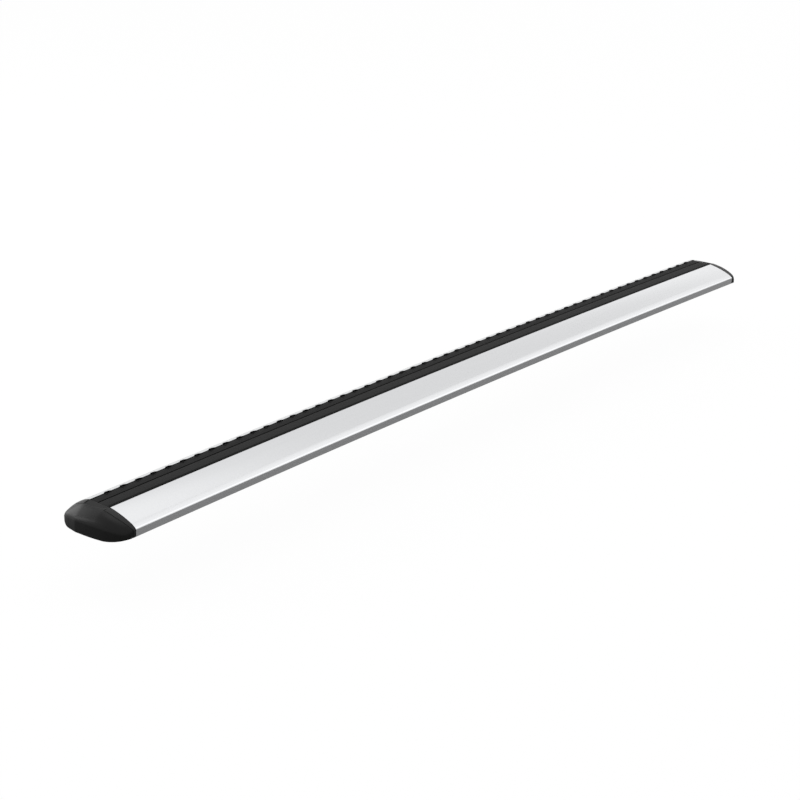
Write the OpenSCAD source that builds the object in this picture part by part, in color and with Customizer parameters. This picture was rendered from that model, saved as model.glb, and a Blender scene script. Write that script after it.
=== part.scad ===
// Roof rack crossbar: a hollow wing section with a slot along its top and its underside,
// rubber strips in both slots and a moulded cap with a hinged flap at each end.
// X runs along the bar, the thin tail edge faces -Y, the blunt nose faces +Y and Z is up.
// The origin is on the ground below the middle of the bar. All sizes are in millimetres.

/* [Bar] */
// Length of the aluminium bar between its end caps
bar_length = 1037; // [800:1:1400]
// How far the middle of the bar bows up above its ends
arch_rise = 4.25; // [2:0.05:7]
// Height of the section at the front edge of the top strip
section_height = 24.2; // [23:0.1:27]
// Wall of the extrusion
wall = 2; // [1.6:0.1:2.4]
// Inner corner radius of the chambers
chamber_round = 1; // [0.6:0.1:1.4]

/* [Wing outline] */
// Distance from the tail face to the front edge of the top strip
tail_reach = 33.2; // [30:0.1:38]
// Distance from the rear edge of the top strip to the nose
nose_reach = 19.5; // [18:0.1:23]
// Drop from the front edge of the top strip to the crease above the tail face
crease_drop = 12.2; // [11:0.1:13]
// Height of the near-vertical tail face
tail_face = 7.1; // [5:0.1:8]
// How far the foot of the tail face is set back
tail_lean = 0.3; // [0.1:0.1:0.6]
// Distance from the tail face to the upper edge of the band above the crease
band_reach = 5.3; // [4:0.1:7]
// Radius that rolls the band over into the crease
crease_round = 4.5; // [3:0.5:6]
// Length of the underside that sweeps up to the tail face
tail_sweep = 29; // [24:0.5:32]
// Height of the foremost point of the nose above the underside
nose_height = 11.5; // [10:0.1:12.5]

/* [Top slot] */
// Width of the top strip's seat
strip_width = 27.3; // [26.5:0.1:30]
// Height of the seat's rear edge above its front edge
strip_rise = 0.6; // [0.2:0.1:1]
// Depth of the seat
strip_depth = 1.8; // [1.5:0.1:2.2]
// Thickness of the lips beside the slot's mouth
slot_lip = 2; // [1.6:0.1:2.4]
// Width of the slot's mouth
mouth_width = 12; // [11:0.1:13]
// Inner width of the slot
slot_width = 24; // [22:0.1:24.6]
// Inner height of the slot
slot_height = 7.8; // [7:0.1:8.2]

/* [Underside slot] */
// Width of the mouth in the underside
under_mouth = 11; // [10:0.1:12]
// Inner width of the underside slot
under_width = 20; // [18:0.1:22]
// Thickness of the web between the two slots
slot_web = 3; // [2.4:0.1:3.6]

/* [Chambers and screw ports] */
// Distance from the tail face to the stiffening rib of the tail chamber
rib_from_tail = 15; // [12:0.5:18]
// Thickness of that rib
rib_wall = 1.6; // [1.2:0.1:2]
// Bore of a screw port
port_bore = 4; // [3.6:0.1:4.4]
// Wall round a screw port
port_wall = 2; // [1.6:0.1:2.2]
// Height of the screw ports above the underside
port_height = 10; // [9:0.1:11]

/* [Rubber strips] */
// Gap between a strip and the metal beside it
strip_gap = 0.15; // [0.1:0.05:0.25]
// Thickness of the clip legs under a strip
leg_wall = 1.4; // [1.2:0.1:1.8]
// How far a clip leg hooks under its lip
leg_hook = 1; // [0.6:0.1:1.4]
// Height of that hook
hook_height = 1.4; // [1.2:0.1:1.8]
// Width of the slit that parts for a bolt
slit_width = 0.8; // [0.5:0.1:1]
// Depth of that slit
slit_depth = 1; // [0.6:0.1:1.2]
// Distance of the slit behind the middle of the strip
slit_offset = 2.3; // [0:0.1:3]
// Bevel along the strip's front edge
edge_bevel = 1.2; // [0.6:0.1:1.4]
// Spacing of the air ridges along the strip
ridge_pitch = 19.2; // [15:0.1:30]
// Distance from the end of the bar to the first air ridge
ridge_first = 17.3; // [12:0.1:30]
// Height of an air ridge
ridge_height = 1.2; // [0.8:0.1:1.5]
// Length of an air ridge along the bar
ridge_length = 10; // [6:0.1:12]
// Thickness of an air ridge
ridge_width = 0.9; // [0.7:0.1:2]
// How far the foot of its steep end reaches across the strip
ridge_foot = 3.5; // [2.5:0.1:5]
// Distance from an air ridge's steep face to its tip
ridge_tip = 0.8; // [0.4:0.1:1.2]
// Distance from the rear edge of the strip to the air ridges
ridge_inset = 0.3; // [0.2:0.1:0.6]

/* [End caps] */
// How far a cap reaches past the end of the bar
cap_reach = 21.5; // [18:0.1:26]
// How far it reaches at the tail face
cap_reach_tail = 1.2; // [1:0.1:2]
// Distance from the middle of the section to the cap's furthest point
cap_peak = 18; // [14:0.1:22]
// Height of the crease round the cap at its highest, above the underside
cap_crease = 13.8; // [13:0.1:14.6]
// Distance of that place from the middle of the section
crease_peak = 3; // [0:0.5:6]
// Drop of the crease from there to the tail face
crease_fall = 4.3; // [3:0.1:5]
// Fullness of the domed top at the nose, where more stays high for longer
dome_fullness = 1.6; // [1.4:0.1:2]
// Fullness of the domed top towards the tail
tail_fullness = 3.2; // [2.4:0.1:4]
// Wall of the cap mouldings
cap_wall = 2; // [1.6:0.1:2.4]
// Thickness of the plate against the bar's end
plate_thickness = 2.6; // [2:0.1:3.2]
// How far the fixed collar reaches beside the top slot
collar_reach = 7.2; // [6:0.1:9]
// How far the collar reaches at the tail face and the nose
collar_edge = 2; // [1.6:0.1:2.6]
// Gap between the flap and what it closes on
flap_gap = 0.3; // [0.3:0.05:0.5]
// Length of the plug inside the bar
plug_length = 14; // [10:0.5:20]
// Gap between the plug and the chamber's walls
plug_gap = 0.6; // [0.5:0.05:0.8]
// Wall of the plug
plug_wall = 1.6; // [1.2:0.1:1.8]
// Width of the two catches under the flap's top
catch_width = 1.6; // [1.2:0.1:2.4]
// How far a catch reaches down into the end of the slot
catch_drop = 2.2; // [1.6:0.1:2.4]
// Depth of the thumb scoop in the flap
scoop_depth = 0.5; // [0.3:0.1:0.8]
// How far the thumb scoop reaches from the end of the bar
scoop_reach = 8; // [6:0.1:10]

/* [Flap hinge] */
// Distance of the hinge from the end of the bar
hinge_out = 5.4; // [5:0.1:6]
// Height of the hinge above the underside
hinge_up = 2.6; // [2.5:0.1:3]
// Radius of the round hinge sill
sill_radius = 2.4; // [2.2:0.1:2.5]
// Diameter of the hinge pin
pin_diameter = 2; // [1.6:0.1:2.2]
// Radial clearance of the pin
pin_clearance = 0.05; // [0.03:0.01:0.08]
// Length of the pin
pin_length = 30; // [26:0.5:32]
// Length of the flap's knuckle
knuckle_length = 18; // [14:0.5:20]

/* [Cap screws] */
// Diameter of the screw shank
screw_diameter = 3.8; // [3.4:0.1:4]
// Length of the screw under its head
screw_length = 16; // [12:0.5:22]
// Diameter of the screw head
head_diameter = 7; // [6:0.1:7.6]
// Height of the screw head
head_height = 2.2; // [1.8:0.1:2.8]
// Width across the head's six-sided socket
socket_width = 3; // [2.5:0.1:3.4]
// Radial clearance of the shank in the plate
shank_clearance = 0.2; // [0.1:0.05:0.4]

/* [Hidden] */
$fn = 64;

tiny = 0.01;
past = 5;                                // how far a cutter runs past what it cuts
high = 2 * section_height;               // above everything
chord = tail_reach + strip_width + nose_reach;
tail_y = -chord / 2;
nose_y = chord / 2;
strip_front = tail_y + tail_reach;
strip_rear = strip_front + strip_width;
slot_middle = (strip_front + strip_rear) / 2;
crease_z = section_height - crease_drop;
tail_foot = crease_z - tail_face;
strip_rear_z = section_height + strip_rise;
ground_past = past + arch_rise;

// The arch is part of a large circle about an axis across the bar
arch_radius = (bar_length * bar_length / 4 + arch_rise * arch_rise) / (2 * arch_rise);
arch_half = asin(bar_length / 2 / arch_radius);
sweep_half = 1.05 * arch_half;           // the sweep runs past both ends, which are then squared off
arch_steps = 40;                         // straight steps in a drawn arch

// The top falls to the tail in one long arc, a straight band and the roll over the crease
slope_strip = 9;
slope_band = 32;
slope_crease = 64;
roll_run = crease_round * (sin(slope_crease) - sin(slope_band));
roll_drop = crease_round * (cos(slope_band) - cos(slope_crease));
roll_from = tail_reach - roll_run;
face_run = tail_reach - band_reach;
face_drop = crease_drop - roll_drop - (roll_from - face_run) * tan(slope_band);
slope_face = 2 * atan(face_drop / face_run) - slope_strip;
face_radius = face_run / (sin(slope_face) - sin(slope_strip));

// Behind the strip it falls to the nose in two
slope_rear = 14;
slope_turn = 35;
brow = two_arcs(slope_rear, slope_turn, 90, nose_reach, strip_rear_z - nose_height);

// Radii of two arcs in line that cover a given length and drop
function two_arcs(a, b, c, run, drop) =
    let (s1 = sin(b) - sin(a), s2 = sin(c) - sin(b),
         d1 = cos(a) - cos(b), d2 = cos(b) - cos(c),
         r2 = (drop - d1 * run / s1) / (d2 - d1 * s2 / s1))
    [(run - s2 * r2) / s1, r2];

// Height lost after running a distance along an arc that starts at slope a, up to slope b
function arc_fall(run, a, b, radius) = radius * (cos(a) - cos(asin(min(sin(b), sin(a) + run / radius))));

// The same along two arcs in line, which steepen from a to b to c
function fall(run, a, b, c, radii) =
    let (first = radii[0] * (sin(b) - sin(a)))
    arc_fall(run, a, b, radii[0]) + (run > first ? arc_fall(run - first, b, c, radii[1]) : 0);

// Height of the wing's top at a distance from the middle of the section
function strip_top(y) = section_height + strip_rise * (y - strip_front) / strip_width;
function tail_fall(run) =
    run <= face_run ? arc_fall(run, slope_strip, slope_face, face_radius) :
    run <= roll_from ? face_drop + (run - face_run) * tan(slope_band) :
    crease_drop - roll_drop + arc_fall(run - roll_from, slope_band, slope_crease, crease_round);
function wing_top(y) =
    y < strip_front ? section_height - tail_fall(min(tail_reach, strip_front - y)) :
    y <= strip_rear ? strip_top(y) :
    strip_rear_z - fall(min(nose_reach, y - strip_rear), slope_rear, slope_turn, 90, brow);

// Steps along each curve of the outline
face_steps = 14;
roll_steps = 6;
nose_steps = 20;
chin_steps = 12;
sweep_steps = 8;

under_radius = (tail_sweep * tail_sweep + tail_foot * tail_foot) / (2 * tail_foot);
under_turn = 2 * atan(tail_foot / tail_sweep);

module wing_outline() {
    roll = [for (i = [roll_steps : -1 : 0]) roll_from + roll_run * sin(90 * i / roll_steps)];
    face = [for (i = [face_steps : -1 : 1]) face_run * i / face_steps];
    tail_side = [for (run = concat(roll, face)) [strip_front - run, section_height - tail_fall(run)]];
    nose_side = [for (i = [1 : nose_steps])
        let (y = strip_rear + nose_reach * sin(90 * i / nose_steps)) [y, wing_top(y)]];
    nose_under = [for (i = [1 : chin_steps]) let (a = 90 * i / chin_steps)
        [nose_y - nose_height * (1 - cos(a)), nose_height * (1 - sin(a))]];
    foot_y = tail_y + tail_lean;
    tail_under = [for (i = [0 : sweep_steps]) let (a = under_turn * i / sweep_steps)
        [foot_y + tail_sweep - under_radius * sin(a), under_radius * (1 - cos(a))]];
    polygon(concat([[strip_front, section_height], [strip_rear, strip_rear_z]],
        nose_side, nose_under, tail_under, tail_side));
}

// Heights of the two slots
seat_floor = section_height - strip_depth;
lip_floor = seat_floor - slot_lip;
slot_floor = lip_floor - slot_height;
under_roof = slot_floor - slot_web;
column_half = slot_width / 2 + wall;

module span(y_from, y_to, z_from, z_to) {
    translate([y_from, z_from]) square([y_to - y_from, z_to - z_from]);
}

module centred_span(width, z_from, z_to) {
    span(slot_middle - width / 2, slot_middle + width / 2, z_from, z_to);
}

module slot_column() {
    centred_span(2 * column_half, 0, high);
}

module rib() {
    span(tail_y + rib_from_tail, tail_y + rib_from_tail + rib_wall, 0, section_height);
}

// Middle of each screw port, beside the slot's side walls
port_out = column_half + port_bore / 2;
port_tail = slot_middle - port_out;
port_nose = slot_middle + port_out;

module port_boss() {
    for (y = [port_tail, port_nose])
        translate([y, port_height]) circle(d = port_bore + 2 * port_wall, $fn = 40);
}

module chambers() {
    offset(r = chamber_round, $fn = 24) offset(delta = -chamber_round)
        difference() {
            offset(delta = -wall) wing_outline();
            slot_column();
            rib();
            port_boss();
        }
}

module strip_seat() {
    polygon([[strip_front, seat_floor], [strip_rear, strip_rear_z - strip_depth],
             [strip_rear, strip_rear_z + past], [strip_front, section_height + past]]);
}

module bar_section() {
    difference() {
        wing_outline();
        chambers();
        strip_seat();
        centred_span(mouth_width, lip_floor, section_height + past);
        centred_span(slot_width, slot_floor, lip_floor);
        centred_span(under_mouth, -past, wall + tiny);
        centred_span(under_width, wall, under_roof);
        for (y = [port_tail, port_nose])
            translate([y, port_height]) circle(d = port_bore, $fn = 32);
    }
}

// Sweeps a section along the arch and squares off its ends
module arched(length) {
    intersection() {
        translate([0, 0, arch_rise - arch_radius]) rotate([90, 0, 0])
            rotate_extrude(angle = 2 * sweep_half, start = 90 - sweep_half,
                           $fn = arch_steps * 180 / arch_half)
                translate([arch_radius, 0]) rotate(-90) children();
        translate([-length / 2, -chord, -ground_past])
            cube([length, 2 * chord, section_height + 2 * ground_past + past]);
    }
}

// Places a shape on the arch at a distance along it from the middle
module on_arch(along) {
    turn = along / arch_radius * 180 / PI;
    translate([0, 0, arch_rise - arch_radius]) rotate([0, turn, 0])
        translate([0, 0, arch_radius]) children();
}

module bar_extrusion() {
    color("silver") arched(bar_length) bar_section();
}

module clip_legs(width, z_top, z_lip) {
    for (side = [-1, 1]) {
        edge = slot_middle + side * (width / 2 - strip_gap);
        translate([edge, 0]) mirror([side < 0 ? 1 : 0, 0]) {
            span(-leg_wall, 0, z_lip - hook_height, z_top);
            polygon([[-leg_wall, z_lip - hook_height], [0, z_lip - hook_height],
                     [leg_hook, z_lip - strip_gap], [-leg_wall, z_lip - strip_gap]]);
        }
    }
}

module top_strip_section() {
    difference() {
        union() {
            bevel_to = strip_front + strip_gap + edge_bevel;
            polygon([[strip_front + strip_gap, seat_floor + strip_gap],
                     [strip_rear - strip_gap, strip_rear_z - strip_depth + strip_gap],
                     [strip_rear - strip_gap, strip_rear_z],
                     [bevel_to, strip_top(bevel_to)],
                     [strip_front + strip_gap, section_height - edge_bevel]]);
            clip_legs(mouth_width, seat_floor + strip_depth / 2, lip_floor);
        }
        translate([slot_middle + slit_offset - slit_width / 2, section_height - slit_depth])
            square([slit_width, slit_depth + past]);
    }
}

ridge_count = floor((bar_length - ridge_first - ridge_length) / ridge_pitch) + 1;
ridge_root = 0.25;                       // how deep a ridge grows out of the strip
foot_rise = 0.5;                         // how high its foot stands over the strip

// A fin along the rear edge, steep towards -X and falling away towards +X
module air_ridge() {
    rear = strip_rear - strip_gap - ridge_inset;
    surface = strip_top(rear - ridge_foot);
    translate([0, rear, 0]) rotate([90, 0, 0]) linear_extrude(height = ridge_width)
        polygon([[0, surface - ridge_root],
                 [ridge_length, surface - ridge_root],
                 [ridge_length, surface],
                 [ridge_tip, strip_rear_z + ridge_height],
                 [0, strip_rear_z + ridge_height - ridge_root]]);
    translate([ridge_root, rear - ridge_foot, surface - ridge_root])
        cube([2 * ridge_tip, ridge_foot - ridge_width / 2, ridge_root + foot_rise]);
}

module top_strip() {
    color("dimgray") union() {
        arched(bar_length) top_strip_section();
        for (i = [0 : ridge_count - 1])
            on_arch(ridge_first - bar_length / 2 + i * ridge_pitch) air_ridge();
    }
}

module underside_strip_section() {
    centred_span(under_mouth - 2 * strip_gap, 0, wall);
    translate([0, wall]) mirror([0, 1]) clip_legs(under_mouth, wall, 0);
}

module underside_strip() {
    color("dimgray") arched(bar_length) underside_strip_section();
}

// How far the cap reaches at a distance from the middle of the section: a full curve towards the
// tail and a squarer turn round the nose
tail_squareness = 2.6;
nose_taper = 0.2;
nose_squareness = 8;
function rounded(t, squareness) = pow(max(0, 1 - pow(t, squareness)), 1 / squareness);
function cap_out(y) =
    y < cap_peak
        ? cap_reach_tail + (cap_reach - cap_reach_tail)
          * rounded((cap_peak - y) / (cap_peak - tail_y), tail_squareness)
        : let (t = (y - cap_peak) / (nose_y - cap_peak))
          cap_reach * (1 - nose_taper * t) * rounded(t, nose_squareness);

function crease_height(y) =
    cap_crease - crease_fall * pow((y - crease_peak) / (crease_peak - tail_y), 2);

// Height of the domed top at a distance out from the bar's end
dome_past = 1.5;                         // the dome runs on past the outline to be cut by it
function dome_top(out, y) =
    let (share = min(dome_past, out / max(1, cap_out(y))), low = crease_height(y),
         towards_tail = min(1, max(0, (strip_rear - y) / nose_y)),
         fullness = dome_fullness + (tail_fullness - dome_fullness) * towards_tail)
    low + (wing_top(y) - low) * (1 - pow(share, fullness));

dome_rows = 24;
dome_columns = 12;

// A block under the cap's domed top, lowered by a given depth
module dome_block(depth) {
    stride = dome_columns + 1;
    base = stride * (dome_rows + 1);
    y_at = [for (i = [0 : dome_rows]) -chord / 2 * cos(180 * i / dome_rows)];
    x_at = [for (j = [0 : dome_columns]) (cap_reach + 1) * j / dome_columns];
    top = [for (y = y_at) for (x = x_at) [x, y, dome_top(x, y) - depth]];
    low = [for (y = y_at) for (x = x_at) [x, y, -past]];
    grid = [for (i = [0 : dome_rows - 1]) for (j = [0 : dome_columns - 1]) i * stride + j];
    rows = [for (i = [0 : dome_rows - 1]) i * stride];
    far = dome_rows * stride;
    faces = concat(
        [for (k = grid) each [[k, k + stride, k + stride + 1], [k, k + stride + 1, k + 1]]],
        [for (k = grid) let (b = base + k)
            each [[b, b + stride + 1, b + stride], [b, b + 1, b + stride + 1]]],
        [for (j = [0 : dome_columns - 1]) each [[j, j + 1, base + j + 1], [j, base + j + 1, base + j]]],
        [for (j = [far : far + dome_columns - 1])
            each [[j + 1, j, base + j], [j + 1, base + j, base + j + 1]]],
        [for (k = rows) each [[k + stride, k, base + k], [k + stride, base + k, base + k + stride]]],
        [for (k = rows) let (m = k + dome_columns)
            each [[m, m + stride, base + m + stride], [m, base + m + stride, base + m]]]);
    polyhedron(points = concat(top, low), faces = faces);
}

plan_steps = 40;

module cap_plan(inset) {
    polygon(concat([[-1, tail_y - 1], [cap_reach_tail - min(inset, 1), tail_y - 1]],
        [for (i = [0 : plan_steps]) let (y = -chord / 2 * cos(180 * i / plan_steps))
            [max(0, cap_out(y) - inset), y]],
        [[-1, nose_y + 1]]));
}

dome_share = 1.1;                        // the top's wall against the side's, as it slopes

// The cap as one closed shape, or its hollow when inset by the wall
module cap_form(inset) {
    intersection() {
        rotate([90, 0, 90]) linear_extrude(height = cap_reach + past)
            offset(delta = -inset) wing_outline();
        translate([0, 0, -past]) linear_extrude(height = section_height + 2 * past) cap_plan(inset);
        dome_block(inset * dome_share);
    }
}

// Where the fixed collar ends beside the flap, seen from above
function collar_out(run, reach) =
    collar_edge + (collar_reach - collar_edge) * sqrt(max(0, 1 - pow(run / reach, 2)));

collar_steps = 14;

module collar_plan(side_reach) {
    polygon(concat([[-1, -1]],
        [for (i = [0 : collar_steps]) let (run = side_reach * sin(90 * i / collar_steps))
            [collar_out(run, side_reach), run]],
        [[collar_edge, side_reach + 1], [-1, side_reach + 1]]));
}

// Both collars as prisms, grown by a gap all round
module collars(gap) {
    for (side = [-1, 1]) {
        edge = side < 0 ? strip_front : strip_rear;
        reach = side < 0 ? tail_reach : nose_reach;
        translate([0, edge, hinge_up]) mirror([0, side < 0 ? 1 : 0, 0])
            linear_extrude(height = high) offset(delta = gap) intersection() {
                collar_plan(reach);
                translate([-1, 0]) square([cap_reach, reach + 2]);
            }
    }
}

// A round bar along the hinge
module along_hinge(radius, y_from, y_to) {
    translate([hinge_out, y_from, hinge_up]) rotate([-90, 0, 0])
        cylinder(r = radius, h = y_to - y_from);
}

knuckle_from = slot_middle - knuckle_length / 2;
knuckle_to = slot_middle + knuckle_length / 2;
pin_from = slot_middle - pin_length / 2;

// A slab across the whole section, between two distances from the bar's end
module slab(x_from, x_to, z_to) {
    translate([x_from, tail_y - past, -past]) cube([x_to - x_from, chord + 2 * past, past + z_to]);
}

// Everything on the fixed side of the parting line
module fixed_side() {
    collars(0);
    slab(-1, hinge_out, hinge_up);
    along_hinge(sill_radius, tail_y - past, nose_y + past);
}

plate_top = section_height - dome_share * cap_wall - 2 * flap_gap;
flap_lift = 0.2;                         // the flap's underside clears the ground

module slot_notch() {
    translate([-1, slot_middle - slot_width / 2, slot_floor])
        cube([plate_thickness + 2, slot_width, section_height]);
    translate([-1, strip_front, plate_top])
        cube([plate_thickness + 2, strip_width, section_height]);
}

module plug() {
    rotate([90, 0, 90]) translate([0, 0, -plug_length]) linear_extrude(height = plug_length + 1)
        difference() {
            offset(delta = -plug_gap) chambers();
            offset(delta = -plug_gap - plug_wall) chambers();
        }
}

// Follows the bar's end, which slopes a little with the arch
module at_port(y) {
    rotate([0, arch_half, 0]) translate([0, y, port_height]) rotate([0, 90, 0]) children();
}

module knuckle() {
    along_hinge(sill_radius, knuckle_from, knuckle_to);
    translate([hinge_out, knuckle_from, hinge_up - sill_radius])
        cube([sill_radius + 2, knuckle_length, cap_wall]);
}

// The room in the sill that the knuckle turns in
module knuckle_room() {
    translate([plate_thickness, knuckle_from - flap_gap, -past])
        cube([cap_reach, knuckle_length + 2 * flap_gap, past + hinge_up + sill_radius + flap_gap]);
}

// The room in the flap for the plate against the bar's end
module plate_clearance() {
    translate([-1, tail_y, -past])
        cube([plate_thickness + flap_gap + 1, chord, plate_top + flap_gap + past]);
}

module cap_base() {
    difference() {
        union() {
            intersection() {
                difference() {
                    cap_form(0);
                    intersection() {
                        cap_form(cap_wall);
                        slab(plate_thickness, cap_reach, high);
                    }
                }
                union() {
                    fixed_side();
                    slab(-1, plate_thickness, high);
                }
            }
            intersection() {
                cap_form(0);
                along_hinge(sill_radius, tail_y - past, nose_y + past);
            }
            plug();
        }
        slot_notch();
        knuckle_room();
        along_hinge(pin_diameter / 2 + pin_clearance, pin_from - flap_gap, nose_y + past);
        for (y = [port_tail, port_nose])
            at_port(y)
                cylinder(r = screw_diameter / 2 + shank_clearance, h = 4 * plate_thickness, center = true);
    }
}

module catches() {
    for (side = [-1, 1])
        translate([flap_gap, slot_middle + side * (slot_width / 2 - flap_gap - catch_width / 2)
                   - catch_width / 2, plate_top - catch_drop])
            cube([plate_thickness - flap_gap, catch_width, catch_drop + 1]);
}

scoop_round = 45;
scoop_middle = 13;
scoop_fall = strip_top(scoop_middle) - dome_top(scoop_reach, scoop_middle) + scoop_depth;

module thumb_scoop() {
    intersection() {
        translate([scoop_reach - scoop_round, scoop_middle, 0])
            cylinder(r = scoop_round, h = 2 * section_height);
        translate([0, strip_front, section_height]) rotate([atan(strip_rise / strip_width), 0, 0])
            rotate([0, atan(scoop_fall / scoop_reach), 0]) translate([-1, flap_gap, 0])
            cube([2 * scoop_reach, strip_width - 2 * flap_gap, past]);
    }
}

module cap_flap() {
    difference() {
        union() {
            difference() {
                intersection() {
                    difference() {
                        cap_form(0);
                        cap_form(cap_wall);
                    }
                    slab(flap_gap, 2 * cap_reach, high);
                }
                collars(flap_gap);
                slab(-1, hinge_out + sill_radius + flap_gap, hinge_up);
                along_hinge(sill_radius + flap_gap, tail_y - past, nose_y + past);
                plate_clearance();
                thumb_scoop();
            }
            catches();
            knuckle();
        }
        along_hinge(pin_diameter / 2 + pin_clearance, knuckle_from - 1, knuckle_to + 1);
        slab(-1, 2 * cap_reach, flap_lift);
    }
}

module hinge_pin() {
    along_hinge(pin_diameter / 2, pin_from, pin_from + pin_length);
}

head_gap = 0.15;                         // a head stands just clear of the sloping plate

module cap_screw(y) {
    at_port(y) {
        seat = plate_thickness + head_gap;
        translate([0, 0, seat - screw_length]) cylinder(d = screw_diameter, h = screw_length + tiny);
        translate([0, 0, seat]) difference() {
            cylinder(d = head_diameter, h = head_height);
            translate([0, 0, head_height / 2]) cylinder(d = socket_width / cos(30), h = head_height, $fn = 6);
        }
    }
}

// Puts a piece drawn for the right-hand end at either end
module at_end(side) {
    mirror([side < 0 ? 1 : 0, 0, 0]) translate([bar_length / 2, 0, 0]) children();
}

module cap_base_left() at_end(-1) color("#303032") cap_base();
module cap_base_right() at_end(1) color("#303032") cap_base();
module cap_flap_left() at_end(-1) color("#3a3a3c") cap_flap();
module cap_flap_right() at_end(1) color("#3a3a3c") cap_flap();
module hinge_pin_left() at_end(-1) color("gainsboro") hinge_pin();
module hinge_pin_right() at_end(1) color("gainsboro") hinge_pin();
module cap_screw_tail_left() at_end(-1) color("darkgray") cap_screw(port_tail);
module cap_screw_nose_left() at_end(-1) color("darkgray") cap_screw(port_nose);
module cap_screw_tail_right() at_end(1) color("darkgray") cap_screw(port_tail);
module cap_screw_nose_right() at_end(1) color("darkgray") cap_screw(port_nose);

bar_extrusion();
top_strip();
underside_strip();
cap_base_left();
cap_flap_left();
hinge_pin_left();
cap_screw_tail_left();
cap_screw_nose_left();
cap_base_right();
cap_flap_right();
hinge_pin_right();
cap_screw_tail_right();
cap_screw_nose_right();
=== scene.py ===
import math

import bmesh
import bpy
from mathutils import Matrix, Vector


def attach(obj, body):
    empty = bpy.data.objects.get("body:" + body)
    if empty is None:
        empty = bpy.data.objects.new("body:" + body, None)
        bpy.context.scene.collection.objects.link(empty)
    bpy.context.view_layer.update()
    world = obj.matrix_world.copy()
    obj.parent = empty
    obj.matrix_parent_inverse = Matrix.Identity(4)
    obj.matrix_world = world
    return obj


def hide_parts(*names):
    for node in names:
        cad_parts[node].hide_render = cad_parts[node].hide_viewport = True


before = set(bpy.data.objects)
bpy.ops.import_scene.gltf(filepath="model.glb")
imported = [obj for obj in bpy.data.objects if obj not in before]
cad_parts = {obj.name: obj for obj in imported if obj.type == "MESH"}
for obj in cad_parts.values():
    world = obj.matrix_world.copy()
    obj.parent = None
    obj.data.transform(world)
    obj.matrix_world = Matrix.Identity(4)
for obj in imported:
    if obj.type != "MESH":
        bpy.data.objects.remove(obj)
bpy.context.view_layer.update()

mm = 0.001  # sizes below are in millimetres, and meshes are in metres
scene = bpy.context.scene
scene.view_settings.view_transform = "Standard"

# the section of the bar, with Y from its middle and Z from its underside
wing = {
    "length": 1037, "archRise": 4.25, "height": 24.2, "wall": 2,
    "tailReach": 33.2, "noseReach": 19.5, "creaseDrop": 12.2, "tailFace": 7.1, "tailLean": 0.3,
    "bandReach": 5.3, "creaseRound": 4.5, "tailSweep": 29, "noseHeight": 11.5,
    "stripWidth": 27.3, "stripRise": 0.6, "stripDepth": 1.8,
    "lip": 2, "mouth": 12, "slotWidth": 24, "slotHeight": 7.8,
    "underMouth": 11, "underWidth": 20, "web": 3, "corner": 0.35,
}
slopes = {"strip": 9, "band": 32, "crease": 64, "rear": 14, "turn": 35, "nose": 90}  # degrees
half = wing["length"] / 2
chord = wing["tailReach"] + wing["stripWidth"] + wing["noseReach"]
tailY, noseY = -chord / 2, chord / 2
stripFront = tailY + wing["tailReach"]
stripRear = stripFront + wing["stripWidth"]
slotMiddle = (stripFront + stripRear) / 2
stripRearZ = wing["height"] + wing["stripRise"]
seatFloor = wing["height"] - wing["stripDepth"]
lipFloor = seatFloor - wing["lip"]
slotFloor = lipFloor - wing["slotHeight"]
archRadius = (half ** 2 + wing["archRise"] ** 2) / (2 * wing["archRise"])
archHalf = math.asin(half / archRadius)


def sinOf(name):
    return math.sin(math.radians(slopes[name]))


def cosOf(name):
    return math.cos(math.radians(slopes[name]))


def twoArcs(a, b, c, run, drop):
    # radii of two arcs in line that cover a run and a drop
    s1, s2 = sinOf(b) - sinOf(a), sinOf(c) - sinOf(b)
    d1, d2 = cosOf(a) - cosOf(b), cosOf(b) - cosOf(c)
    second = (drop - d1 * run / s1) / (d2 - d1 * s2 / s1)
    return (run - s2 * second) / s1, second


def arcFall(run, a, b, radius):
    # height lost after a run along an arc that starts at slope a, up to slope b
    return radius * (cosOf(a) - math.cos(math.asin(min(sinOf(b), sinOf(a) + run / radius))))


# the top falls to the tail in one long arc, a straight band and the roll over the crease
rollRun = wing["creaseRound"] * (sinOf("crease") - sinOf("band"))
rollDrop = wing["creaseRound"] * (cosOf("band") - cosOf("crease"))
rollFrom = wing["tailReach"] - rollRun
faceRun = wing["tailReach"] - wing["bandReach"]
bandSlope = math.tan(math.radians(slopes["band"]))
faceDrop = wing["creaseDrop"] - rollDrop - (rollFrom - faceRun) * bandSlope
slopes["face"] = 2 * math.degrees(math.atan(faceDrop / faceRun)) - slopes["strip"]
faceRadius = faceRun / (sinOf("face") - sinOf("strip"))
brow = twoArcs("rear", "turn", "nose", wing["noseReach"], stripRearZ - wing["noseHeight"])


def tailFall(run):
    # height lost between the strip and a point nearer to the tail
    if run <= faceRun:
        return arcFall(run, "strip", "face", faceRadius)
    if run <= rollFrom:
        return faceDrop + (run - faceRun) * bandSlope
    roll = arcFall(run - rollFrom, "band", "crease", wing["creaseRound"])
    return wing["creaseDrop"] - rollDrop + roll


def noseFall(run):
    # the same towards the nose
    first = brow[0] * (sinOf("turn") - sinOf("rear"))
    drop = arcFall(run, "rear", "turn", brow[0])
    return drop + arcFall(run - first, "turn", "nose", brow[1]) if run > first else drop


def stripTop(y):
    return wing["height"] + wing["stripRise"] * (y - stripFront) / wing["stripWidth"]


def wingTop(y):
    # height of the wing's top surface
    if y < stripFront:
        return wing["height"] - tailFall(min(wing["tailReach"], stripFront - y))
    if y <= stripRear:
        return stripTop(y)
    return stripRearZ - noseFall(min(wing["noseReach"], y - stripRear))


def curveSteps(count, first=1):
    # shares of a run that crowd towards its end
    return [math.sin(math.pi / 2 * i / count) for i in range(first, count + 1)]


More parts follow.
